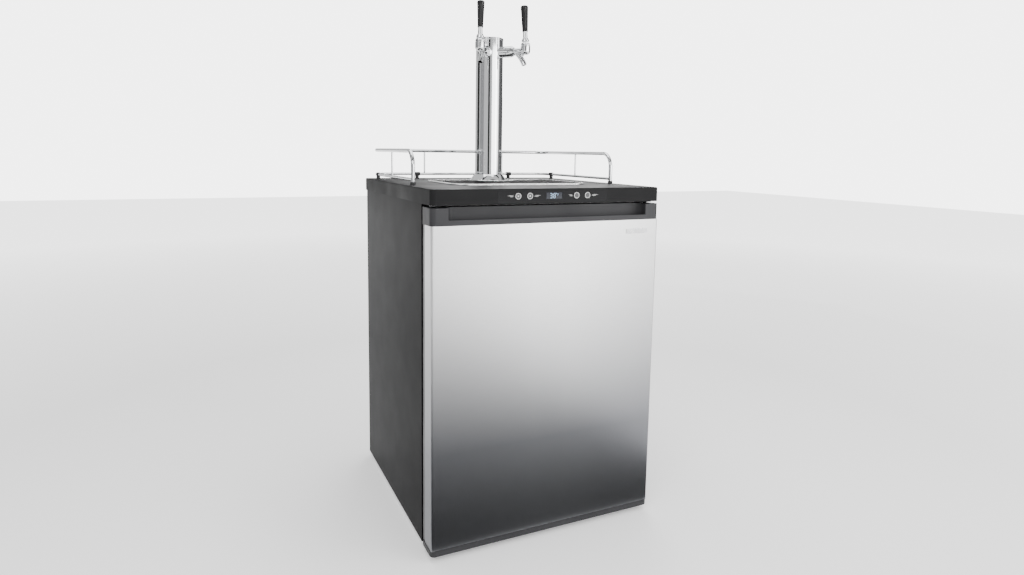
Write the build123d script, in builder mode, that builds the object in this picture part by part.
from build123d import *
import os
from math import cos, radians, sin, sqrt

# Two-tap beer dispenser: a full-size refrigerated keg cabinet with a draught tower on its worktop.
# Millimetres. +Z is up, the door faces -Y, +X is to the right of someone facing the door.
# The origin is on the floor, under the centre of the overall box.

# ---------------------------------------------------------------- driving dimensions
# Overall
width = 600.0  # worktop and door
body_depth = 612.0  # door face to back panel
rear_bulge = 24.0  # compressor cover behind the back panel
worktop_z = 856.0  # serving surface above the floor
foot_gap = 12.0  # cabinet underside above the floor

# Door
door_depth = 62.0
seal_gap = 15.0  # between door and cabinet, filled by the gasket
door_lift = 1.0  # door underside above cabinet underside
bottom_cap_height = 15.0
top_cap_height = 39.0
door_gap = 6.0  # between door and fascia
corner_radius = 12.0  # upright front corners of worktop and caps
skin_sheet = 1.0
skin_return = 46.0  # how far the skin wraps round the side of the door
skin_bend = 5.0
skin_inset = 1.0  # skin side behind the caps
door_liner_sheet = 2.5
door_panel_rise = 6.0
door_panel_margin = 60.0
pocket_width = 520.0
pocket_depth = 27.0
pocket_corner = 24.0
pocket_lip = 12.0  # front lip height above the cap underside
pocket_lip_wall = 4.0
pocket_floor = 3.0
gasket_band = 22.0
gasket_margin = 22.0  # door edge to gasket
gasket_clearance = 0.5

# Worktop
fascia_height = 35.0
worktop_sheet = 5.0
apron_wall = 3.0
worktop_edge = 3.0
panel_width = 290.0
panel_height = 30.0
panel_sheet = 2.0
panel_proud = 0.4
button_radius = 7.5
button_travel = 0.8
button_clearance = 0.25
button_z_drop = 17.0  # button centres below the serving surface
button_xs = {"cooler": -93.0, "warmer": -63.0, "unit": 60.0, "power": 90.0}
button_stem = 3.5
window_width = 44.0
window_height = 17.0

# Cabinet
sheet = 1.2
return_flange = 18.0
side_insulation = 43.0
back_insulation = 46.0
top_insulation = 72.0
floor_insulation = 42.0
liner_sheet = 2.5
bay_depth = 150.0
bay_height = 185.0
bay_insulation = 25.0
bay_floor_sheet = 2.4
floor_plate_sheet = 1.5
floor_plate_margin = 10.0
line_hole_radius = 26.0
gas_hole_radius = 8.0
gas_hole_x = 200.0
gas_hole_z = 300.0
cover_wall = 2.0
cord_gland_radius = 3.6
cover_margin = 28.0

# Refrigeration
compressor_x = 150.0
can_radius = 66.0
can_lift = 14.0
can_headroom = 22.0
can_plate = 4.0
can_plate_x = 74.0
can_plate_y = 56.0
can_saddle = 34.0
mount_radius = 10.0
relay_proud = 14.0
relay_width = 44.0
relay_height = 52.0
relay_low = 40.0
coil_x = (-262.0, -22.0)
coil_inset = 34.0
coil_lift = 24.0
coil_passes = 8
coil_pitch = 19.0
coil_tube = 3.0
strap_count = 5
strap_pitch = 50.0
strap_width = 6.0
strap_overhang = 8.0
louvre_count = (14, 3)
louvre_pitch = (34.0, 42.0)
louvre_width = 7.0
louvre_height = 32.0
gland_radius = 9.0
duct_x = (-10.0, 236.0)
duct_height = 238.0
duct_gap = 12.0
duct_depth = 46.0
duct_wall = 2.5
fan_rise = 150.0
fan_bore = 50.0
fan_shaft = 2.0
guard_rings = 5
guard_slot = 6.0
guard_pitch = 9.0
guard_spoke = 3.0
motor_radius = 17.0
motor_length = 12.0
motor_reach = 60.0
motor_strap = 5.0
hub_radius = 13.0
blade_count = 7
blade_width = 20.0
blade_length = 33.0
blade_sheet = 1.4
blade_pitch = 28.0

# Feet
foot_inset_x = 28.0
foot_inset_y = 22.0
foot_radius = 14.0
foot_pad = 6.0
foot_hex = 2.5
stem_radius = 5.0
stem_length = 30.0
weld_nut_radius = 9.0
weld_nut_height = 8.0
run_clearance = 0.06  # radial, for everything that turns or slides in a bore

# Hinges
hinge_inset_x = 22.0
hinge_inset_y = 30.0
pin_radius = 4.0
hinge_plate = 3.0
hinge_plate_outer = 15.0
hinge_plate_inner = 24.0
screw_radius = 2.5
screw_head_radius = 4.6
screw_head = 2.0
screw_clearance = 0.1

# Tower
tower_from_front = 393.0
column_radius = 38.0
column_wall = 1.5
column_height = 390.0
column_cap = 4.0
flange_radius = 63.5
flange_plate = 4.0
bezel_height = 15.0
bezel_spread = 10.0
tap_height = 355.0  # tap axis above the serving surface
tap_angle = 36.0  # each side of straight ahead
tap_reach = 113.0  # column axis to handle pivot
shank_radius = 11.0
shank_bore = 3.2
shank_inner = 18.0
shank_outer = 54.0
collar_radius = 15.0
collar_length = 48.0  # outer end of the saddle collar, from the column axis
nut_outer = 71.0
nut_tip = 78.0
thread_clearance = 0.05
barrel_radius = 8.5
chamber_radius = 13.0
spout_radius = 7.0
spout_bore = 4.8
spout_arc = ((-30.5, -2.0), (-14.5, -17.5), (-3.0, -38.0))  # from the handle axis, along and up
web_radius = 5.0
web_arc = ((-1.0, -4.0), (-10.0, -10.5), (-13.0, -21.0))  # front arm between tap body and spout
pivot_lift = 13.0  # handle pivot above tap axis
handle_lean = 3.0
ball_radius = 6.5
neck_radius = 3.0
tip_radius = 2.2
tip_reach = 15.0
valve_radius = 4.0
valve_length = 46.0
bonnet_top = 7.0  # above the pivot
bonnet_radius = 12.5
lever_collar_radius = 10.2
lever_collar_top = 19.5
lever_sweep = 14.8  # underside of the collar, a sphere about the pivot that clears the bonnet
handle_thread = 4.7
ferrule_top = 37.0
ferrule_radius = 6.4
handle_top = 106.0
handle_base_radius = 7.7
handle_top_radius = 10.5

# Drip tray
tray_width = 380.0
tray_from_front = 153.0
tray_to_back = 395.0
tray_corner = 42.0
tray_flange_gap = 3.0  # rim to tower flange
rim_width = 7.0
rim_height = 3.5
tray_sink = 14.0
tray_wall = 1.2
tray_well_gap = 1.0
well_wall = 2.5
grille_gap = 0.8
grille_thickness = 5.0
grille_border = 7.0
slot_width = 7.0
slot_pitch = 11.5
slot_rows = 3
slot_row_gap = 6.0

# Guard rail
rail_inset = 19.0
rail_back_inset = 27.0
rail_front = 195.0  # front legs from the door face
rail_height = 82.0
rail_tube = 5.0  # radius of the upper tube
rail_bend = 38.0
low_rail_height = 13.0
low_rail_tube = 3.8
post_radius = 2.3
side_post_from_front = 386.0
back_post_x = 128.0
back_foot_x = 151.0
rail_foot_radius = 6.5

# Gas kit
cylinder_radius = 66.5
cylinder_height = 375.0
cylinder_x = -168.0
cylinder_gap = 2.0
cylinder_neck = 19.0
neck_height = 14.0
valve_body_radius = 13.0
valve_height = 42.0
outlet_rise = 26.0
outlet_radius = 10.5
outlet_length = 34.0
relief_radius = 8.0
relief_length = 22.0
spindle_radius = 4.0
spindle_height = 18.0
wheel_radius = 27.0
wheel_thickness = 12.0
wheel_grips = 8
grip_radius = 5.5
regulator_reach = 76.0  # cylinder axis to regulator body
inlet_nut_radius = 17.0
inlet_nut_length = 14.0
body_radius = 24.0
body_rear = 20.0
body_front = 14.0
bonnet_boss = 15.0
gauge_reach = 62.5
gauge_stem = 6.0
gauge_radius = 22.0
gauge_rim = 3.0
dial_recess = 2.0
valve_drop = 38.0
shutoff_length = 16.0
hose_tail = 3.5
hose_tail_length = 20.0
knob_radius = 14.0
knob_length = 20.0
knob_grooves = 12

# ---------------------------------------------------------------- derived levels and places
half_width = width / 2
front_y = -(body_depth + rear_bulge) / 2
back_y = front_y + body_depth
rear_y = back_y + rear_bulge
door_back_y = front_y + door_depth
cabinet_y = door_back_y + seal_gap  # front face of the cabinet
shell_half = half_width - apron_wall  # outer face of the side panels
shell_top_z = worktop_z - worktop_sheet
fascia_z = worktop_z - fascia_height
door_z = foot_gap + door_lift
skin_z = door_z + bottom_cap_height
door_top_z = fascia_z - door_gap
skin_top_z = door_top_z - top_cap_height

liner_half = shell_half - sheet - side_insulation
liner_back_y = back_y - sheet - back_insulation
liner_floor_z = foot_gap + sheet + floor_insulation
liner_top_z = shell_top_z - sheet - top_insulation
cavity_half = liner_half - liner_sheet
cavity_back_y = liner_back_y - liner_sheet
cavity_floor_z = liner_floor_z + liner_sheet
cavity_top_z = liner_top_z - liner_sheet
bay_y = back_y - bay_depth
bay_top_z = foot_gap + bay_height
hump_y = bay_y - bay_insulation - liner_sheet  # hump face, inside the cavity
hump_z = bay_top_z + bay_insulation + liner_sheet

hinge_x = half_width - hinge_inset_x
hinge_y = front_y + hinge_inset_y
tower_y = front_y + tower_from_front
column_base_z = worktop_z + flange_plate
tap_z = worktop_z + tap_height
rim_z = worktop_z + rim_height
tray_z = worktop_z - tray_sink
tray_floor_z = tray_z + tray_wall
tray_y = front_y + (tray_from_front + tray_to_back) / 2
tray_length = tray_to_back - tray_from_front
bite_radius = flange_radius + tray_flange_gap + rim_width
foot_places = [(side * (shell_half - foot_inset_x), cabinet_y + foot_inset_y) for side in (-1, 1)]
rear_foot_places = [(x, back_y - foot_inset_x) for x, y in foot_places]
upper_screws = (hinge_y + 22, hinge_y + 38)
lower_screws = (cabinet_y + 6, cabinet_y + 46)
tail_end = shank_outer + 5.5  # where the tap's tail flange stops inside the coupling nut
tap_turn = radians(tap_angle)
taps = [Vector(side * sin(tap_turn), -cos(tap_turn), 0) for side in (-1, 1)]  # level, from the column axis

written = []


def save(builder, name):
    """Label a finished piece and write its STEP file."""
    builder.part.label = name
    export_step(builder.part, "parts/" + name + ".step")
    written.append(name)


def slab(x, y, z, mode=Mode.ADD):
    """A block between a low and a high value along each axis, made in the open builder."""
    with Locations(((x[0] + x[1]) / 2, (y[0] + y[1]) / 2, (z[0] + z[1]) / 2)):
        return Box(x[1] - x[0], y[1] - y[0], z[1] - z[0], mode=mode)


def rod(place, direction, radius, length, mode=Mode.ADD):
    """A cylinder that starts at place and runs along direction, made in the open builder."""
    with Locations(Plane(origin=place, z_dir=direction)):
        return Cylinder(radius, length, align=(Align.CENTER, Align.CENTER, Align.MIN), mode=mode)


def upright(place, radius, low, high, mode=Mode.ADD):
    """A vertical cylinder between two heights, made in the open builder."""
    return rod((place[0], place[1], low), (0, 0, 1), radius, high - low, mode)


def front_rounded(half, depth, radius):
    """A rectangle from the door face back by depth, its two front corners rounded."""
    with Locations((0, front_y + depth / 2)):
        outline = Rectangle(2 * half, depth)
    fillet(outline.vertices().group_by(Axis.Y)[0], radius)


def tray_outline(grow):
    """The drip tray's plan, grown outwards, with the cut-out that clears the tower flange."""
    with Locations((0, tray_y)):
        RectangleRounded(
            tray_width - 2 * rim_width + 2 * grow,
            tray_length - 2 * rim_width + 2 * grow,
            tray_corner - rim_width + grow,
        )
    with Locations((0, tower_y)):
        Circle(bite_radius - grow, mode=Mode.SUBTRACT)


# ---------------------------------------------------------------- cabinet
def make_shell():
    """Folded steel wrapper: both sides and the top, with return flanges round the front."""
    with BuildPart() as cabinet_wrapper:
        slab((-shell_half, shell_half), (cabinet_y, back_y), (foot_gap, shell_top_z))
        inner = shell_half - sheet
        slab((-inner, inner), (cabinet_y + sheet, back_y), (foot_gap, shell_top_z - sheet), Mode.SUBTRACT)
        mouth = shell_half - return_flange
        slab((-mouth, mouth), (cabinet_y, cabinet_y + sheet), (foot_gap, shell_top_z - return_flange),
             Mode.SUBTRACT)
        with BuildSketch(Plane.XY.offset(shell_top_z - sheet)):
            tray_outline(tray_well_gap + well_wall)
            with Locations((0, tower_y)):
                Circle(line_hole_radius)
        extrude(amount=sheet, mode=Mode.SUBTRACT)
    save(cabinet_wrapper, "cabinet_wrapper")

    with BuildPart() as back_panel:
        slab((-inner, inner), (back_y - sheet, back_y), (bay_top_z, shell_top_z - sheet))
        rod((gas_hole_x, back_y - sheet, gas_hole_z), (0, 1, 0), gas_hole_radius, sheet, Mode.SUBTRACT)
    save(back_panel, "back_panel")

    with BuildPart() as base_pan:
        slab((-inner, inner), (cabinet_y + sheet, bay_y), (foot_gap, foot_gap + sheet))
        slab((-mouth, mouth), (cabinet_y, cabinet_y + sheet), (foot_gap, foot_gap + return_flange))
        slab((-inner, inner), (bay_y - sheet, bay_y), (foot_gap, bay_top_z))
        slab((-inner, inner), (bay_y, back_y), (bay_top_z - sheet, bay_top_z))
        slab((-inner, inner), (bay_y, back_y), (foot_gap, foot_gap + bay_floor_sheet))
        slab((-inner, inner), (back_y - sheet, back_y), (foot_gap, foot_gap + return_flange))
        for place in foot_places:
            upright(place, weld_nut_radius, foot_gap, foot_gap + sheet + weld_nut_height)
            upright(place, stem_radius + run_clearance, foot_gap, foot_gap + sheet + weld_nut_height,
                    Mode.SUBTRACT)
    save(base_pan, "base_pan")

    with BuildPart() as cabinet_foam:
        slab((-inner, inner), (cabinet_y + liner_sheet, back_y - sheet),
             (foot_gap + sheet, shell_top_z - sheet))
        slab((-inner, inner), (bay_y - sheet, back_y), (foot_gap, bay_top_z), Mode.SUBTRACT)
        with BuildSketch(Plane.YZ.offset(-liner_half)):
            with BuildLine():
                liner_outline(0)
            make_face()
        extrude(amount=2 * liner_half, mode=Mode.SUBTRACT)
        with BuildSketch(Plane.XY.offset(shell_top_z - sheet)):
            tray_outline(tray_well_gap + well_wall)
        extrude(amount=-(tray_sink + well_wall), mode=Mode.SUBTRACT)
        upright((0, tower_y), line_hole_radius, liner_top_z, shell_top_z, Mode.SUBTRACT)
        for place in foot_places:
            upright(place, weld_nut_radius + 1, foot_gap, foot_gap + stem_length + 2, Mode.SUBTRACT)
        rod((gas_hole_x, liner_back_y, gas_hole_z), (0, 1, 0), gas_hole_radius,
            back_y - liner_back_y, Mode.SUBTRACT)
    save(cabinet_foam, "cabinet_foam")

    with BuildPart() as inner_liner:
        with BuildSketch(Plane.YZ.offset(-liner_half)):
            with BuildLine():
                liner_outline(0)
            make_face()
        extrude(amount=2 * liner_half)
        slab((-mouth, mouth), (cabinet_y, cabinet_y + liner_sheet),
             (foot_gap + return_flange, shell_top_z - return_flange))
        with BuildSketch(Plane.YZ.offset(-cavity_half)):
            with BuildLine():
                liner_outline(liner_sheet)
            make_face()
        extrude(amount=2 * cavity_half, mode=Mode.SUBTRACT)
        upright((0, tower_y), line_hole_radius, cavity_top_z, liner_top_z, Mode.SUBTRACT)
        rod((gas_hole_x, cavity_back_y, gas_hole_z), (0, 1, 0), gas_hole_radius, liner_sheet,
            Mode.SUBTRACT)
    save(inner_liner, "inner_liner")

    with BuildPart() as keg_floor_plate:
        reach = cavity_half - floor_plate_margin
        slab((-reach, reach), (cabinet_y + floor_plate_margin, hump_y - 2),
             (cavity_floor_z, cavity_floor_z + floor_plate_sheet))
        fillet(keg_floor_plate.edges().filter_by(Axis.Z), floor_plate_margin)
    save(keg_floor_plate, "keg_floor_plate")


def liner_outline(inset):
    """Side view of the liner's outside, or of its cavity when inset by the sheet, stepped over the bay."""
    roof_z = bay_top_z + bay_insulation + inset
    face_y = bay_y - bay_insulation - inset
    Polyline(
        (cabinet_y, liner_floor_z + inset),
        (face_y, liner_floor_z + inset),
        (face_y, roof_z),
        (liner_back_y - inset, roof_z),
        (liner_back_y - inset, liner_top_z - inset),
        (cabinet_y, liner_top_z - inset),
        close=True,
    )


def make_refrigeration():
    """Compressor, condenser and cover in the rear bay, and the air circulator inside the cavity."""
    compressor_y = bay_y + bay_depth / 2
    can_low = foot_gap + can_lift
    plate_low = can_low - can_plate
    left_of_can = compressor_x - can_radius
    with BuildPart() as compressor:
        upright((compressor_x, compressor_y), can_radius, can_low, bay_top_z - can_headroom)
        fillet(compressor.edges().filter_by(GeomType.CIRCLE), can_radius * 0.42)
        slab((compressor_x - can_plate_x, compressor_x + can_plate_x),
             (compressor_y - can_plate_y, compressor_y + can_plate_y), (plate_low, can_low))
        slab((compressor_x - can_saddle, compressor_x + can_saddle),
             (compressor_y - can_saddle, compressor_y + can_saddle), (plate_low, can_low + can_saddle))
        slab((left_of_can - relay_proud, left_of_can + relay_proud),
             (compressor_y - relay_width / 2, compressor_y + relay_width / 2),
             (can_low + relay_low, can_low + relay_low + relay_height))
        for dx in (-1, 1):
            for dy in (-1, 1):
                place = (compressor_x + dx * (can_plate_x - mount_radius),
                         compressor_y + dy * (can_plate_y - mount_radius))
                upright(place, mount_radius, foot_gap + bay_floor_sheet, plate_low)
                upright(place, mount_radius / 2, plate_low, can_low + can_plate)
    save(compressor, "compressor")

    coil_y = back_y - coil_inset
    coil_low = foot_gap + coil_lift
    coil_high = coil_low + (coil_passes - 1) * coil_pitch
    with BuildPart() as condenser:
        route = []
        for row in range(coil_passes):
            ends = coil_x if row % 2 == 0 else coil_x[::-1]
            route += [(x, coil_y, coil_low + row * coil_pitch) for x in ends]
        with BuildLine():
            FilletPolyline(*route, radius=coil_pitch / 2 - 0.5)
        with BuildSketch(Plane(origin=(coil_x[0], coil_y, coil_low), z_dir=(1, 0, 0))):
            Circle(coil_tube)
        sweep()
        for strap in range(strap_count):
            x = coil_x[0] + strap_pitch * (strap + 0.4)
            slab((x, x + strap_width), (coil_y + 1, coil_y + coil_tube + 1),
                 (coil_low - strap_overhang, coil_high + strap_overhang))
    save(condenser, "condenser")

    cover_half = shell_half - cover_margin
    with BuildPart() as compressor_cover:
        slab((-cover_half, cover_half), (back_y, rear_y), (foot_gap + 6, bay_top_z + 12))
        fillet(compressor_cover.edges().group_by(Axis.Y)[-1], 8)
        slab((-cover_half + 12, cover_half - 12), (back_y, rear_y - cover_wall),
             (foot_gap + return_flange, bay_top_z - 2), Mode.SUBTRACT)
        with Locations(Plane.XZ.offset(-rear_y).move(Location((0, 0, foot_gap + 6 + bay_height / 2)))):
            with GridLocations(louvre_pitch[0], louvre_pitch[1], louvre_count[0], louvre_count[1]):
                Box(louvre_width, louvre_height, 4 * cover_wall, mode=Mode.SUBTRACT)
        gland = (-cover_half + 40, back_y, foot_gap + 34)
        rod(gland, (0, 1, 0), gland_radius, rear_bulge)
        rod(gland, (0, 1, 0), cord_gland_radius, rear_bulge, Mode.SUBTRACT)
    save(compressor_cover, "compressor_cover")

    duct_z = (cavity_top_z - duct_gap - duct_height, cavity_top_z - duct_gap)
    duct_y = cavity_back_y - duct_depth
    fan_x = sum(duct_x) / 2
    fan_z = duct_z[0] + fan_rise
    with BuildPart() as evaporator_cover:
        slab(duct_x, (duct_y, cavity_back_y), duct_z)
        fillet(evaporator_cover.edges().group_by(Axis.Y)[0], 4)
        slab((duct_x[0] + duct_wall, duct_x[1] - duct_wall), (duct_y + duct_wall, cavity_back_y),
             (duct_z[0] + duct_wall, duct_z[1] - duct_wall), Mode.SUBTRACT)
        for ring in range(guard_rings):
            inner = guard_slot + ring * guard_pitch
            with BuildSketch(Plane.XZ.offset(-duct_y)):
                with Locations((fan_x, fan_z)):
                    Circle(inner + guard_slot)
                    Circle(inner, mode=Mode.SUBTRACT)
                    with PolarLocations(0, 4):
                        Rectangle(2 * fan_bore, guard_spoke, mode=Mode.SUBTRACT)
            extrude(amount=-duct_wall, mode=Mode.SUBTRACT)
        for lift in range(4):
            z = duct_z[0] + 18 + lift * 12
            slab((duct_x[0] + 24, duct_x[1] - 24), (duct_y, duct_y + duct_wall), (z, z + 5), Mode.SUBTRACT)
    save(evaporator_cover, "evaporator_cover")

    with BuildPart() as evaporator_plate:
        slab((duct_x[0] + 12, duct_x[1] - 12), (cavity_back_y - 5, cavity_back_y),
             (duct_z[0] + 12, duct_z[1] - 12))
        for row in range(7):
            z = duct_z[0] + 30 + row * 30
            rod((duct_x[0] + 20, cavity_back_y - 6, z), (1, 0, 0), 2.5, duct_x[1] - duct_x[0] - 40)
    save(evaporator_plate, "evaporator_plate")

    motor_y = duct_y + 24
    with BuildPart() as fan_motor:
        strap_z = (fan_z - motor_strap, fan_z + motor_strap)
        strap_back = motor_y + motor_length - 2
        rod((fan_x, motor_y, fan_z), (0, 1, 0), motor_radius, motor_length)
        slab((fan_x - motor_reach, fan_x + motor_reach), (strap_back - 2, strap_back), strap_z)
        for side in (-1, 1):
            edge = sorted((fan_x + side * (motor_reach - 8), fan_x + side * motor_reach))
            slab(edge, (duct_y + duct_wall, strap_back), strap_z)
        rod((fan_x, motor_y - 8, fan_z), (0, 1, 0), fan_shaft, 9)
    save(fan_motor, "fan_motor")

    with BuildPart() as fan_rotor:
        hub_y = motor_y - 11
        rod((fan_x, hub_y, fan_z), (0, 1, 0), hub_radius, 10)
        for blade in range(blade_count):
            angle = radians(blade * 360 / blade_count)
            spoke = Plane(origin=(fan_x, hub_y + 5, fan_z), x_dir=(-sin(angle), 0, cos(angle)),
                          z_dir=(cos(angle), 0, sin(angle)))
            with BuildSketch(spoke.offset(hub_radius - 2)):
                Rectangle(blade_width, blade_sheet, rotation=blade_pitch)
            extrude(amount=blade_length)
        rod((fan_x, hub_y - 1, fan_z), (0, 1, 0), fan_shaft + run_clearance, 14, Mode.SUBTRACT)
    save(fan_rotor, "fan_rotor")
    return fan_x, hub_y, fan_z


# ---------------------------------------------------------------- worktop and controls
def make_worktop():
    """Moulded worktop with its fascia, control panel, display and buttons."""
    panel_z = worktop_z - 4 - panel_height / 2
    button_z = worktop_z - button_z_drop
    with BuildPart() as worktop:
        with BuildSketch(Plane.XY.offset(fascia_z)):
            front_rounded(half_width, body_depth, corner_radius)
        extrude(amount=fascia_height)
        fillet(worktop.faces().sort_by(Axis.Z)[-1].edges(), worktop_edge)
        slab((-shell_half, shell_half), (cabinet_y, back_y), (fascia_z, shell_top_z), Mode.SUBTRACT)
        slab((-shell_half + corner_radius, shell_half - corner_radius),
             (front_y + 2 * apron_wall, cabinet_y), (fascia_z + apron_wall, shell_top_z), Mode.SUBTRACT)
        with BuildSketch(Plane.XY.offset(tray_z - well_wall)):
            tray_outline(tray_well_gap + well_wall)
        extrude(amount=worktop_z - worktop_edge - tray_z + well_wall)
        with BuildSketch(Plane.XY.offset(tray_z)):
            tray_outline(tray_well_gap)
        extrude(amount=tray_sink, mode=Mode.SUBTRACT)
        upright((0, tower_y), line_hole_radius, shell_top_z, worktop_z, Mode.SUBTRACT)
        slab((-panel_width / 2, panel_width / 2), (front_y, front_y + panel_sheet),
             (panel_z - panel_height / 2, panel_z + panel_height / 2), Mode.SUBTRACT)
        slab((-panel_width / 2 + 20, panel_width / 2 - 20), (front_y, front_y + 2 * apron_wall),
             (panel_z - panel_height / 2 + 4, panel_z + panel_height / 2 - 4), Mode.SUBTRACT)
    save(worktop, "worktop")

    with BuildPart() as control_panel:
        slab((-panel_width / 2, panel_width / 2), (front_y - panel_proud, front_y + panel_sheet),
             (panel_z - panel_height / 2, panel_z + panel_height / 2))
        fillet(control_panel.edges().group_by(Axis.Y)[0], panel_proud / 2)
        for x in button_xs.values():
            rod((x, front_y - panel_proud, button_z), (0, 1, 0), button_radius + button_clearance,
                panel_sheet + panel_proud, Mode.SUBTRACT)
        slab((-window_width / 2, window_width / 2), (front_y - panel_proud, front_y + panel_sheet),
             (button_z - window_height / 2, button_z + window_height / 2), Mode.SUBTRACT)
    save(control_panel, "control_panel")

    with BuildPart() as display_window:
        slab((-window_width / 2, window_width / 2), (front_y - panel_proud / 2, front_y + panel_sheet),
             (button_z - window_height / 2, button_z + window_height / 2))
    save(display_window, "display_window")

    board_y = front_y + panel_sheet + 8
    with BuildPart() as control_board:
        slab((-panel_width / 2 + 24, panel_width / 2 - 24), (board_y, board_y + 1.6),
             (panel_z - panel_height / 2 + 5, panel_z + panel_height / 2 - 5))
        slab((-window_width / 2, window_width / 2), (front_y + panel_sheet, board_y),
             (button_z - window_height / 2, button_z + window_height / 2 - 2))
        for x in button_xs.values():
            slab((x - 3, x + 3), (board_y - 2.5, board_y), (button_z - 3, button_z + 3))
    save(control_board, "control_board")

    for name, x in button_xs.items():
        with BuildPart() as button:
            rod((x, front_y - panel_proud, button_z), (0, 1, 0), button_radius, panel_sheet + panel_proud)
            fillet(button.edges().group_by(Axis.Y)[0], 0.4)
            rod((x, front_y, button_z), (0, 1, 0), button_stem,
                board_y - 2.5 - button_travel - 0.2 - front_y)
        save(button, "button_" + name)


def make_rail():
    """Three-sided chromed guard rail: upper tube with bent legs, lower tube with posts, rubber feet."""
    side_x = half_width - rail_inset
    rear = back_y - rail_back_inset
    fore = front_y + rail_front
    top = worktop_z + rail_height
    low = worktop_z + low_rail_height
    leg_foot_z = worktop_z + 7
    with BuildPart() as rail_upper_tube:
        with BuildLine():
            FilletPolyline(
                (-side_x, fore, leg_foot_z), (-side_x, fore, top), (-side_x, rear, top),
                (side_x, rear, top), (side_x, fore, top), (side_x, fore, leg_foot_z), radius=rail_bend,
            )
        with BuildSketch(Plane(origin=(-side_x, fore, leg_foot_z), z_dir=(0, 0, 1))):
            Circle(rail_tube)
        sweep()
    save(rail_upper_tube, "rail_upper_tube")

    tube_gap = 0.4
    with BuildPart() as rail_lower_tube:
        with BuildLine():
            FilletPolyline(
                (-side_x, fore + rail_tube + tube_gap, low), (-side_x, rear, low), (side_x, rear, low),
                (side_x, fore + rail_tube + tube_gap, low), radius=rail_bend,
            )
        with BuildSketch(Plane(origin=(-side_x, fore + rail_tube + tube_gap, low), z_dir=(0, 1, 0))):
            Circle(low_rail_tube)
        sweep()
        side_post_y = front_y + side_post_from_front
        posts = [(-side_x, side_post_y), (side_x, side_post_y), (-back_post_x, rear), (back_post_x, rear)]
        for place in posts:
            upright(place, post_radius, low, top - rail_tube - 0.05)
    save(rail_lower_tube, "rail_lower_tube")

    with BuildPart() as rail_feet:
        for x in (-side_x, side_x):
            upright((x, fore), rail_foot_radius, worktop_z, leg_foot_z)
        bend_end = rear - rail_bend - 10
        under = [(-back_foot_x, rear), (back_foot_x, rear), (-side_x, bend_end), (side_x, bend_end)]
        for place in under:
            upright(place, rail_foot_radius - 1, worktop_z, low)
            axis = (1, 0, 0) if place[1] == rear else (0, 1, 0)
            start = [place[0] - 8 * axis[0], place[1] - 8 * axis[1], low]
            rod(start, axis, low_rail_tube + 2, 16)
            rod(start, axis, low_rail_tube, 16, Mode.SUBTRACT)
        slab((-half_width, half_width), (front_y, rear_y), (worktop_z - 20, worktop_z), Mode.SUBTRACT)
    save(rail_feet, "rail_feet")


def make_tray():
    """Lift-out drip tray with a rolled rim, and the slotted grille that stands in it."""
    with BuildPart() as drip_tray:
        with BuildSketch(Plane.XY.offset(tray_z)):
            tray_outline(0)
        extrude(amount=rim_z - tray_z)
        with BuildSketch(Plane.XY.offset(worktop_z)):
            tray_outline(rim_width)
        extrude(amount=rim_height)
        fillet(drip_tray.faces().sort_by(Axis.Z)[-1].edges(), rim_height * 0.55)
        with BuildSketch(Plane.XY.offset(tray_floor_z)):
            tray_outline(-tray_wall)
        extrude(amount=rim_z - tray_floor_z, mode=Mode.SUBTRACT)
    save(drip_tray, "drip_tray")

    grille_top = rim_z - 1
    grille_low = grille_top - grille_thickness
    inset = tray_wall + grille_gap
    row_length = (tray_length - 2 * rim_width - 2 * inset - 2 * grille_border - 2 * slot_row_gap) / slot_rows
    columns = int((tray_width - 2 * rim_width - 2 * inset - 2 * grille_border) // slot_pitch)
    with BuildPart() as drip_grille:
        with BuildSketch(Plane.XY.offset(grille_low)):
            tray_outline(-inset)
        extrude(amount=grille_thickness)
        with BuildSketch(Plane.XY.offset(grille_low)):
            tray_outline(-inset - grille_border)
            with BuildSketch(mode=Mode.INTERSECT):
                with Locations((0, tray_y)):
                    with GridLocations(slot_pitch, row_length + slot_row_gap, columns, slot_rows):
                        Rectangle(slot_width, row_length)
        extrude(amount=grille_thickness, mode=Mode.SUBTRACT)
        leg_x = tray_width / 2 - rim_width - 20
        for x in (-leg_x, leg_x):
            for y in (tray_y - 60, tray_y + 60):
                upright((x, y), 4, tray_floor_z, grille_low + 1)
    save(drip_grille, "drip_grille")


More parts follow.
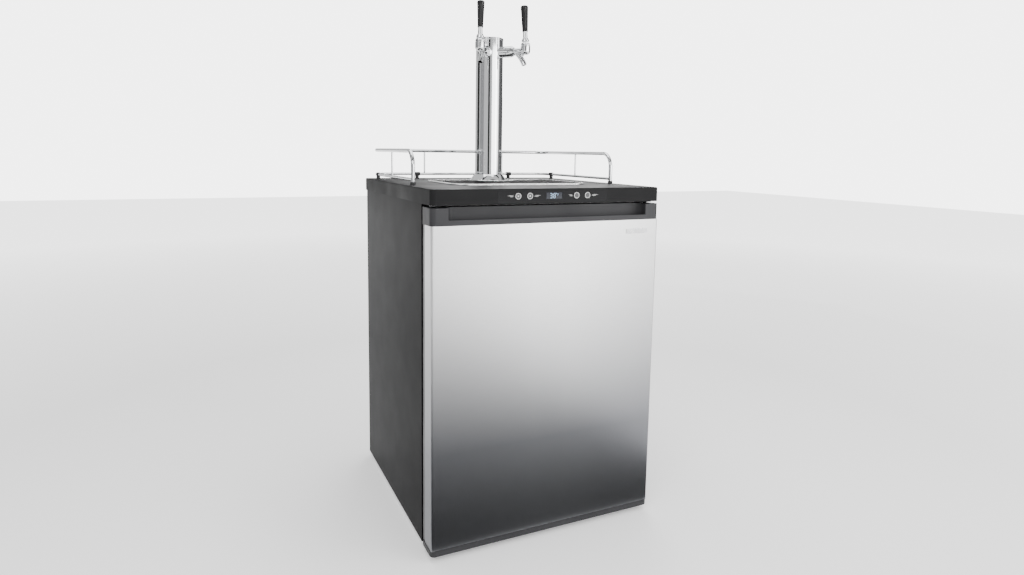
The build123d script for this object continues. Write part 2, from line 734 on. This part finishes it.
# ---------------------------------------------------------------- draught tower and taps
def make_tower():
    """Chromed column on its flange, with cap, insulation sleeve, shanks and their nuts."""
    with BuildPart() as tower_flange:
        with BuildSketch(Plane.XZ.offset(-tower_y)):
            with BuildLine():
                Polyline(
                    (line_hole_radius, worktop_z), (flange_radius, worktop_z),
                    (flange_radius, column_base_z - 1.5), (flange_radius - 1.5, column_base_z),
                    (column_radius + bezel_spread + 2, column_base_z),
                )
                bezel_foot = (column_radius + bezel_spread + 2, column_base_z)
                bezel_top = (column_radius + 2, column_base_z + bezel_height)
                ThreePointArc(
                    bezel_foot,
                    (column_radius + bezel_spread * 0.62, column_base_z + bezel_height * 0.62),
                    bezel_top,
                )
                Polyline(
                    bezel_top, (column_radius, column_base_z + bezel_height),
                    (column_radius, column_base_z), (line_hole_radius, column_base_z),
                    (line_hole_radius, worktop_z),
                )
            make_face()
        revolve(axis=Axis((0, tower_y, 0), (0, 0, 1)))
        for place in screw_places():
            upright(place, screw_radius + screw_clearance, worktop_z, column_base_z, Mode.SUBTRACT)
    save(tower_flange, "tower_flange")

    column_top_z = worktop_z + column_height
    bore = column_radius - column_wall
    with BuildPart() as tower_column:
        upright((0, tower_y), column_radius, column_base_z, column_top_z)
        upright((0, tower_y), bore, column_base_z, column_top_z, Mode.SUBTRACT)
        for tap in taps:
            rod(tap_point(tap, 20, 0), tap, shank_radius + 0.5, 30, Mode.SUBTRACT)
    save(tower_column, "tower_column")

    with BuildPart() as tower_cap:
        upright((0, tower_y), column_radius + 0.6, column_top_z, column_top_z + column_cap)
        fillet(tower_cap.faces().sort_by(Axis.Z)[-1].edges(), 1.6)
        upright((0, tower_y), bore - 0.1, column_top_z - 8, column_top_z)
        upright((0, tower_y), bore - 3, column_top_z - 8, column_top_z, Mode.SUBTRACT)
    save(tower_cap, "tower_cap")

    with BuildPart() as tower_insulation:
        upright((0, tower_y), line_hole_radius - 1, cavity_top_z, column_base_z)
        upright((0, tower_y), bore - 0.5, column_base_z, tap_z - 22)
        upright((0, tower_y), 16, cavity_top_z, tap_z - 22, Mode.SUBTRACT)
    save(tower_insulation, "tower_insulation")

    with BuildPart() as shanks:
        for tap in taps:
            root = column_radius - 6
            rod(tap_point(tap, root, 0), tap, collar_radius, collar_length - root)
        upright((0, tower_y), column_radius, tap_z - 2 * collar_radius, tap_z + 2 * collar_radius,
                Mode.SUBTRACT)
        for tap in taps:
            inner_end = tap_point(tap, shank_inner, 0)
            rod(inner_end, tap, shank_radius, shank_outer - shank_inner)
            rod(inner_end, tap, shank_bore, shank_outer - shank_inner, Mode.SUBTRACT)
    save(shanks, "shanks")

    with BuildPart() as shank_nuts:
        for tap in taps:
            nut_plane = Plane(origin=tap_point(tap, 22, 0), x_dir=(0, 0, 1), z_dir=tap)
            with BuildSketch(nut_plane):
                RegularPolygon(14, 6)
                Circle(shank_radius + thread_clearance, mode=Mode.SUBTRACT)
            extrude(amount=7)
    save(shank_nuts, "shank_nuts")

    with BuildPart() as coupling_nuts:
        for tap in taps:
            rod(tap_point(tap, collar_length + 0.4, 0), tap, collar_radius, nut_outer - collar_length)
            taper_plane = Plane(origin=tap_point(tap, nut_outer + 0.4, 0), z_dir=tap)
            with BuildSketch(taper_plane):
                Circle(collar_radius)
            with BuildSketch(taper_plane.offset(nut_tip - nut_outer)):
                Circle(barrel_radius + 2)
            loft()
            for turn in range(6):
                angle = radians(turn * 60 + 30)
                side = tap_across(tap) * cos(angle) + Vector(0, 0, 1) * sin(angle)
                notch = Vector(*tap_point(tap, (collar_length + nut_outer) / 2, 0)) + side * collar_radius
                rod(notch - side * 2.5, side, 3, 6, Mode.SUBTRACT)
            rod(tap_point(tap, collar_length, 0), tap, shank_radius + thread_clearance,
                tail_end - collar_length, Mode.SUBTRACT)
            rod(tap_point(tap, collar_length, 0), tap, barrel_radius + thread_clearance, 60, Mode.SUBTRACT)
    save(coupling_nuts, "coupling_nuts")


def screw_places():
    """The four flange screws, clear of the taps' line."""
    radius = (flange_radius + column_radius + bezel_spread + 2) / 2
    return [(radius * cos(radians(a)), tower_y + radius * sin(radians(a))) for a in (45, 135, 225, 315)]


def tap_across(tap):
    """Unit vector level with the floor and square to a tap; a handle pulled forward turns about it."""
    return Vector(0, 0, 1).cross(tap)


def tap_point(tap, out, up):
    """A point at a distance out from the column axis, and up from the tap axis."""
    return (tap.X * out, tower_y + tap.Y * out, tap_z + up)


def make_bonnets():
    """The two knurled bonnets, screwed on over the lever balls."""
    low = pivot_lift + 1.05
    high = pivot_lift + bonnet_top
    with BuildPart() as bonnets:
        for tap in taps:
            base = tap_point(tap, tap_reach, 0)
            with BuildSketch(Plane(origin=base, x_dir=tap, z_dir=tap.cross(Vector(0, 0, 1)))):
                Polygon(
                    (ball_radius + run_clearance, low), (bonnet_radius, low), (bonnet_radius, high - 2.5),
                    (bonnet_radius - 1.5, high), (bonnet_radius - 4, high), align=None,
                )
            revolve(axis=Axis(base, (0, 0, 1)))
            for turn in range(12):
                angle = radians(turn * 30)
                reach = bonnet_radius + 0.8
                groove = (base[0] + reach * cos(angle), base[1] + reach * sin(angle))
                upright(groove, 1.5, tap_z, tap_z + 2 * high, Mode.SUBTRACT)
    save(bonnets, "bonnets")


def make_tap(tap, side):
    """One tap: body with spout, valve shaft, lever, ferrule and handle."""
    across = tap_across(tap)
    profile = Plane(origin=tap_point(tap, tap_reach, 0), x_dir=tap, z_dir=tap.cross(Vector(0, 0, 1)))
    pivot = Vector(*tap_point(tap, tap_reach, pivot_lift))
    upright_axis = Axis(pivot, (0, 0, 1))
    with BuildLine(profile) as spout_line:
        ThreePointArc(*spout_arc)
    with BuildLine(profile) as web_line:
        ThreePointArc(*web_arc)
    spout_path = spout_line.edge()
    web_path = web_line.edge()
    bore_path = spout_path.trim(0.3, 1)
    with BuildPart() as faucet:
        rod(tap_point(tap, shank_outer, 0), tap, shank_radius - 0.1, tail_end - shank_outer)
        rod(tap_point(tap, shank_outer, 0), tap, barrel_radius, tap_reach - shank_outer)
        with BuildSketch(profile):
            with BuildLine():
                bend = chamber_radius - 3
                bend_mid = (3 + bend * cos(radians(45)), -1 - bend * sin(radians(45)))
                Polyline((3, -1 - bend), (0, -1 - bend), (0, pivot_lift + 1),
                         (chamber_radius - 2, pivot_lift + 1), (chamber_radius, pivot_lift - 1),
                         (chamber_radius, -1))
                ThreePointArc((chamber_radius, -1), bend_mid, (3, -1 - bend))
            make_face()
        revolve(axis=upright_axis)
        with BuildSketch(Plane(origin=spout_path @ 0, z_dir=spout_path % 0)):
            Circle(spout_radius)
        sweep(path=spout_path)
        with BuildSketch(Plane(origin=web_path @ 0, z_dir=web_path % 0)):
            Circle(web_radius)
        sweep(path=web_path)
        with BuildSketch(Plane(origin=bore_path @ 0, z_dir=bore_path % 0)):
            Circle(spout_bore)
        sweep(path=bore_path, mode=Mode.SUBTRACT)
        rod(tap_point(tap, shank_outer, 0), tap, valve_radius + run_clearance,
            tap_reach - shank_outer + valve_radius + 2, Mode.SUBTRACT)
        rod(pivot - Vector(0, 0, 6), (0, 0, 1), ball_radius + run_clearance, 20, Mode.SUBTRACT)
        slot = Plane(origin=tap_point(tap, tap_reach - 3.5, 0), x_dir=tap, z_dir=(0, 0, 1))
        with BuildSketch(slot):
            Rectangle(14, 2 * tip_radius + 1)
        extrude(amount=pivot_lift, mode=Mode.SUBTRACT)
    save(faucet, "faucet_" + side)

    with BuildPart() as valve_shaft:
        rod(tap_point(tap, tap_reach - valve_length, 0), tap, valve_radius, valve_length + valve_radius + 1)
        pocket_z = pivot_lift - tip_reach - 1
        pocket = Plane(origin=tap_point(tap, tap_reach, pocket_z), x_dir=tap, z_dir=(0, 0, 1))
        with BuildSketch(pocket):
            Rectangle(8.8, 2 * tip_radius + 0.6)
        extrude(amount=10, mode=Mode.SUBTRACT)
    save(valve_shaft, "valve_shaft_" + side)

    lean = Vector(0, 0, 1) * cos(radians(handle_lean)) - tap * sin(radians(handle_lean))
    forward = tap * cos(radians(handle_lean)) + Vector(0, 0, 1) * sin(radians(handle_lean))
    lever_plane = Plane(origin=pivot, x_dir=forward, z_dir=forward.cross(lean))
    lever_axis = Axis(pivot, lean)
    with BuildPart() as lever:
        with BuildSketch(lever_plane):
            with BuildLine():
                ball_top = (neck_radius, sqrt(ball_radius**2 - neck_radius**2))
                ThreePointArc((0, -ball_radius), (ball_radius, 0), ball_top)
                collar_root = (neck_radius, sqrt(lever_sweep**2 - neck_radius**2))
                collar_edge = (lever_collar_radius, sqrt(lever_sweep**2 - lever_collar_radius**2))
                Line(ball_top, collar_root)
                collar_mid = (lever_sweep * sin(0.45), lever_sweep * cos(0.45))
                ThreePointArc(collar_root, collar_mid, collar_edge)
                Polyline(
                    collar_edge, (lever_collar_radius, lever_collar_top - 5),
                    (lever_collar_radius - 2.5, lever_collar_top), (handle_thread, lever_collar_top),
                    (handle_thread, ferrule_top + 14), (0, ferrule_top + 14), (0, -ball_radius),
                )
            make_face()
        revolve(axis=lever_axis)
        rod(pivot - Vector(0, 0, tip_reach), (0, 0, 1), tip_radius, tip_reach)
    save(lever, "lever_" + side)

    with BuildPart() as ferrule:
        with BuildSketch(lever_plane):
            low = lever_collar_top + 0.2
            Polygon(
                (handle_thread + 0.05, low), (ferrule_radius - 0.6, low), (ferrule_radius, low + 2),
                (ferrule_radius - 0.5, ferrule_top - 3), (ferrule_radius + 0.4, ferrule_top),
                (handle_thread + 0.05, ferrule_top), align=None,
            )
        revolve(axis=lever_axis)
    save(ferrule, "ferrule_" + side)

    with BuildPart() as handle:
        with BuildSketch(lever_plane):
            socket = ferrule_top + 14.5
            Polygon(
                (handle_thread + 0.05, ferrule_top + 0.05), (handle_base_radius, ferrule_top + 0.05),
                (handle_top_radius, handle_top - 4), (handle_top_radius - 1.2, handle_top - 1),
                (handle_top_radius - 3.5, handle_top), (0, handle_top), (0, socket),
                (handle_thread + 0.05, socket), align=None,
            )
        revolve(axis=lever_axis)
    save(handle, "tap_handle_" + side)
    return pivot, across


# ---------------------------------------------------------------- door
def make_door():
    """Foamed door: stainless skin, caps, liner, gasket, with its two hinge brackets."""
    bore = pin_radius + run_clearance
    skin_half = half_width - skin_inset
    skin_front = front_y + 1
    with BuildPart() as door_skin:
        with BuildSketch(Plane.XY.offset(skin_z)):
            with Locations((0, skin_front + skin_return / 2)):
                outer = Rectangle(2 * skin_half, skin_return)
            fillet(outer.vertices().group_by(Axis.Y)[0], skin_bend)
            with BuildSketch(mode=Mode.SUBTRACT):
                with Locations((0, skin_front + skin_sheet + skin_return / 2)):
                    inner = Rectangle(2 * skin_half - 2 * skin_sheet, skin_return)
                fillet(inner.vertices().group_by(Axis.Y)[0], skin_bend - skin_sheet)
        extrude(amount=skin_top_z - skin_z)
    save(door_skin, "door_skin")

    panel_y = door_back_y - door_liner_sheet
    core = skin_half - skin_sheet
    with BuildPart() as door_foam:
        with BuildSketch(Plane.XY.offset(skin_z)):
            with Locations((0, (skin_front + skin_sheet + panel_y) / 2)):
                block = Rectangle(2 * core, panel_y - skin_front - skin_sheet)
            fillet(block.vertices().group_by(Axis.Y)[0], skin_bend - skin_sheet)
        extrude(amount=skin_top_z - skin_z)
        for side in (-1, 1):
            edge = sorted((side * core, side * (core - door_liner_sheet)))
            slab(edge, (skin_front + skin_return, panel_y), (skin_z, skin_top_z), Mode.SUBTRACT)
    save(door_foam, "door_foam")

    with BuildPart() as door_liner:
        slab((-core, core), (panel_y, door_back_y), (door_z + 1, door_top_z - 1))
        for side in (-1, 1):
            edge = sorted((side * core, side * (core - door_liner_sheet)))
            slab(edge, (skin_front + skin_return, panel_y), (skin_z, skin_top_z))
        with BuildSketch(Plane.XZ.offset(-door_back_y)):
            with Locations((0, (cavity_floor_z + cavity_top_z) / 2)):
                RectangleRounded(2 * (core - door_panel_margin),
                                 cavity_top_z - cavity_floor_z - 2 * gasket_band, 20)
        extrude(amount=-door_panel_rise, taper=20)
    save(door_liner, "door_liner")

    with BuildPart() as door_top_cap:
        with BuildSketch(Plane.XY.offset(skin_top_z)):
            front_rounded(half_width, panel_y - front_y, corner_radius)
        extrude(amount=top_cap_height)
        scoops = ((skin_top_z + pocket_lip, -pocket_depth), (skin_top_z + pocket_floor, pocket_lip_wall))
        for low, lip in scoops:
            with BuildSketch(Plane.XY.offset(low)):
                with Locations((0, front_y + (lip + pocket_depth) / 2)):
                    scoop = Rectangle(pocket_width, pocket_depth - lip)
                fillet(scoop.vertices().group_by(Axis.Y)[-1], pocket_corner - max(lip, 0) - 1)
            extrude(amount=top_cap_height, mode=Mode.SUBTRACT)
        upright((hinge_x, hinge_y), bore, door_top_z - 20, door_top_z, Mode.SUBTRACT)
    save(door_top_cap, "door_top_cap")

    with BuildPart() as door_bottom_cap:
        with BuildSketch(Plane.XY.offset(door_z)):
            front_rounded(half_width, panel_y - front_y, corner_radius)
        extrude(amount=bottom_cap_height)
        fillet(door_bottom_cap.faces().sort_by(Axis.Z)[0].edges().group_by(Axis.Y)[0], 2)
        upright((hinge_x, hinge_y), bore, door_z, skin_z - 1, Mode.SUBTRACT)
    save(door_bottom_cap, "door_bottom_cap")

    seal_half = half_width - gasket_margin
    seal_low = door_z + gasket_margin + 1
    seal_high = cavity_top_z + gasket_band + 1
    with BuildPart() as door_gasket:
        slab((-seal_half, seal_half), (door_back_y, cabinet_y - gasket_clearance), (seal_low, seal_high))
        fillet(door_gasket.edges().group_by(Axis.Y)[-1], 4)
        inner = seal_half - gasket_band
        slab((-inner, inner), (door_back_y, cabinet_y), (seal_low + gasket_band, seal_high - gasket_band),
             Mode.SUBTRACT)
    save(door_gasket, "door_gasket")

    plate_x = (hinge_x - hinge_plate_inner, hinge_x + hinge_plate_outer)
    plate_y = (hinge_y - 12, cabinet_y)
    upper_z = fascia_z - hinge_plate
    with BuildPart() as upper_hinge:
        slab(plate_x, plate_y, (upper_z, fascia_z))
        fillet(upper_hinge.edges().filter_by(Axis.Z).group_by(Axis.Y)[0], 8)
        upright((hinge_x, hinge_y), pin_radius, door_top_z - 18, fascia_z)
        for y in upper_screws:
            upright((hinge_x, y), screw_radius + screw_clearance, upper_z, fascia_z, Mode.SUBTRACT)
    save(upper_hinge, "upper_hinge")

    lower_z = foot_gap - hinge_plate
    with BuildPart() as lower_hinge:
        slab(plate_x, (plate_y[0], lower_screws[-1] + 12), (lower_z, foot_gap))
        fillet(lower_hinge.edges().filter_by(Axis.Z).group_by(Axis.Y)[0], 8)
        upright((hinge_x, hinge_y), pin_radius, lower_z, skin_z - 2)
        upright(foot_places[1], stem_radius + 0.6, lower_z, foot_gap, Mode.SUBTRACT)
        for y in lower_screws:
            upright((hinge_x - 8, y), screw_radius + screw_clearance, lower_z, foot_gap, Mode.SUBTRACT)
    save(lower_hinge, "lower_hinge")


def make_screws():
    """Identical pan-head screws: four hold the tower flange, two each hinge bracket."""
    seats = [((x, y, worktop_z), flange_plate, 1) for x, y in screw_places()]
    seats += [((hinge_x, y, fascia_z), hinge_plate, -1) for y in upper_screws]
    seats += [((hinge_x - 8, y, foot_gap), hinge_plate, -1) for y in lower_screws]
    recess = 0.6 * screw_head_radius
    with BuildPart() as pan_screws:
        for (x, y, z), grip, way in seats:
            up = (0, 0, way)
            rod((x, y, z), up, screw_radius, grip)
            rod((x, y, z + way * grip), up, screw_head_radius, screw_head)
            for turn in (0, 90):
                with Locations(Location((x, y, z + way * (grip + screw_head)), (0, 0, turn))):
                    Box(2 * recess, 1, screw_head, mode=Mode.SUBTRACT)
    save(pan_screws, "pan_screws")


def make_feet():
    """Two screw-adjusted front feet and a pair of fixed rear feet."""
    for place, side in zip(foot_places, ("left", "right")):
        with BuildPart() as foot:
            upright(place, foot_radius, 0, foot_pad)
            fillet(foot.edges().filter_by(GeomType.CIRCLE).group_by(Axis.Z)[0], 2)
            with BuildSketch(Plane.XY.offset(foot_pad)):
                with Locations(place):
                    RegularPolygon(stem_radius + 3, 6)
            extrude(amount=foot_hex)
            upright(place, stem_radius, foot_pad, foot_gap + stem_length)
        save(foot, "foot_front_" + side)

    with BuildPart() as rear_feet:
        for place in rear_foot_places:
            upright(place, foot_radius + 2, 0, foot_gap)
        fillet(rear_feet.edges().filter_by(GeomType.CIRCLE).group_by(Axis.Z)[0], 2)
    save(rear_feet, "rear_feet")


def make_gas_kit():
    """Gas cylinder on the hump, its valve and handwheel, and the regulator with its gauges."""
    axis_y = cavity_back_y - cylinder_gap - cylinder_radius
    place = (cylinder_x, axis_y)
    shoulder_z = hump_z + cylinder_height
    valve_z = shoulder_z + neck_height
    valve_top = valve_z + valve_height
    outlet_z = valve_z + outlet_rise
    with BuildPart() as gas_cylinder:
        upright(place, cylinder_radius, hump_z, shoulder_z)
        fillet(gas_cylinder.edges().filter_by(GeomType.CIRCLE).group_by(Axis.Z)[-1], cylinder_radius * 0.6)
        fillet(gas_cylinder.edges().filter_by(GeomType.CIRCLE).group_by(Axis.Z)[0], 10)
        upright(place, cylinder_neck, shoulder_z - 10, valve_z)
        upright(place, valve_body_radius, valve_z, valve_top)
        rod((cylinder_x, axis_y, outlet_z), (1, 0, 0), outlet_radius, outlet_length)
        rod((cylinder_x, axis_y, outlet_z), (-1, 0, 0), relief_radius, relief_length)
        upright(place, spindle_radius, valve_top, valve_top + spindle_height)
    save(gas_cylinder, "gas_cylinder")

    wheel_z = valve_top + spindle_height - wheel_thickness
    wheel_top = wheel_z + wheel_thickness
    with BuildPart() as valve_handwheel:
        upright(place, wheel_radius, wheel_z, wheel_top)
        fillet(valve_handwheel.edges().filter_by(GeomType.CIRCLE), 3)
        for turn in range(wheel_grips):
            angle = radians(turn * 360 / wheel_grips)
            grip = (cylinder_x + (wheel_radius + 2) * cos(angle), axis_y + (wheel_radius + 2) * sin(angle))
            upright(grip, grip_radius, wheel_z - 1, wheel_top + 1, Mode.SUBTRACT)
        upright(place, spindle_radius + run_clearance, wheel_z - 1, wheel_top + 1, Mode.SUBTRACT)
    save(valve_handwheel, "valve_handwheel")

    body_x = cylinder_x + regulator_reach
    with BuildPart() as regulator:
        nut_x = cylinder_x + outlet_length + 0.5
        with BuildSketch(Plane(origin=(nut_x, axis_y, outlet_z), x_dir=(0, 0, 1), z_dir=(1, 0, 0))):
            RegularPolygon(inlet_nut_radius, 6)
        extrude(amount=inlet_nut_length)
        rod((nut_x, axis_y, outlet_z), (1, 0, 0), relief_radius, body_x - nut_x)
        rod((body_x, axis_y + body_rear, outlet_z), (0, -1, 0), body_radius, body_rear + body_front)
        rod((body_x, axis_y - body_front, outlet_z), (0, -1, 0), bonnet_boss, body_front + 2)
        rod((body_x, axis_y, outlet_z), (0, 0, 1), gauge_stem, gauge_reach)
        rod((body_x, axis_y, outlet_z), (1, 0, 0), gauge_stem, gauge_reach)
        rod((body_x, axis_y, outlet_z), (0, 0, -1), hose_tail + 1.5, valve_drop)
        rod((body_x, axis_y, outlet_z - valve_drop), (0, 0, -1), relief_radius, shutoff_length)
        tail_z = outlet_z - valve_drop - shutoff_length
        rod((body_x, axis_y, tail_z), (0, 0, -1), hose_tail, hose_tail_length)
        rod((body_x, axis_y - 2 * body_front - 2, outlet_z), (0, -1, 0), spindle_radius, body_front)
        for dx, dz in ((0, gauge_reach), (gauge_reach, 0)):
            gauge = (body_x + dx, axis_y - body_front, outlet_z + dz)
            rod(gauge, (0, 1, 0), gauge_radius, gauge_radius)
            rod(gauge, (0, 1, 0), gauge_radius - gauge_rim, dial_recess, Mode.SUBTRACT)
    save(regulator, "regulator")

    knob_y = axis_y - 2 * body_front - 4
    with BuildPart() as regulator_knob:
        rod((body_x, knob_y, outlet_z), (0, -1, 0), knob_radius, knob_length)
        fillet(regulator_knob.edges().filter_by(GeomType.CIRCLE).group_by(Axis.Y)[0], 3)
        for turn in range(knob_grooves):
            angle = radians(turn * 360 / knob_grooves)
            reach = knob_radius + 1
            groove = (body_x + reach * cos(angle), knob_y + 1, outlet_z + reach * sin(angle))
            rod(groove, (0, -1, 0), 2, knob_length + 2, Mode.SUBTRACT)
        rod((body_x, knob_y, outlet_z), (0, -1, 0), spindle_radius + run_clearance, body_front,
            Mode.SUBTRACT)
    save(regulator_knob, "regulator_knob")

    return place, wheel_z, body_x, axis_y, outlet_z


def main():
    """Make every piece."""
    os.makedirs("parts", exist_ok=True)
    make_shell()
    fan = make_refrigeration()
    make_worktop()
    make_rail()
    make_tray()
    make_tower()
    make_bonnets()
    pivots = [make_tap(tap, side) for tap, side in zip(taps, ("left", "right"))]
    make_door()
    make_screws()
    make_feet()
    gas = make_gas_kit()
    print(len(written), "pieces")
    print("door hinge", hinge_x, hinge_y)
    print("fan axis", fan)
    print("tap pivots", [(tuple(p), tuple(a)) for p, a in pivots])
    print("gas kit", gas)
    print("cavity", cavity_half, cabinet_y, hump_y, cavity_back_y, cavity_floor_z, hump_z, cavity_top_z)


main()
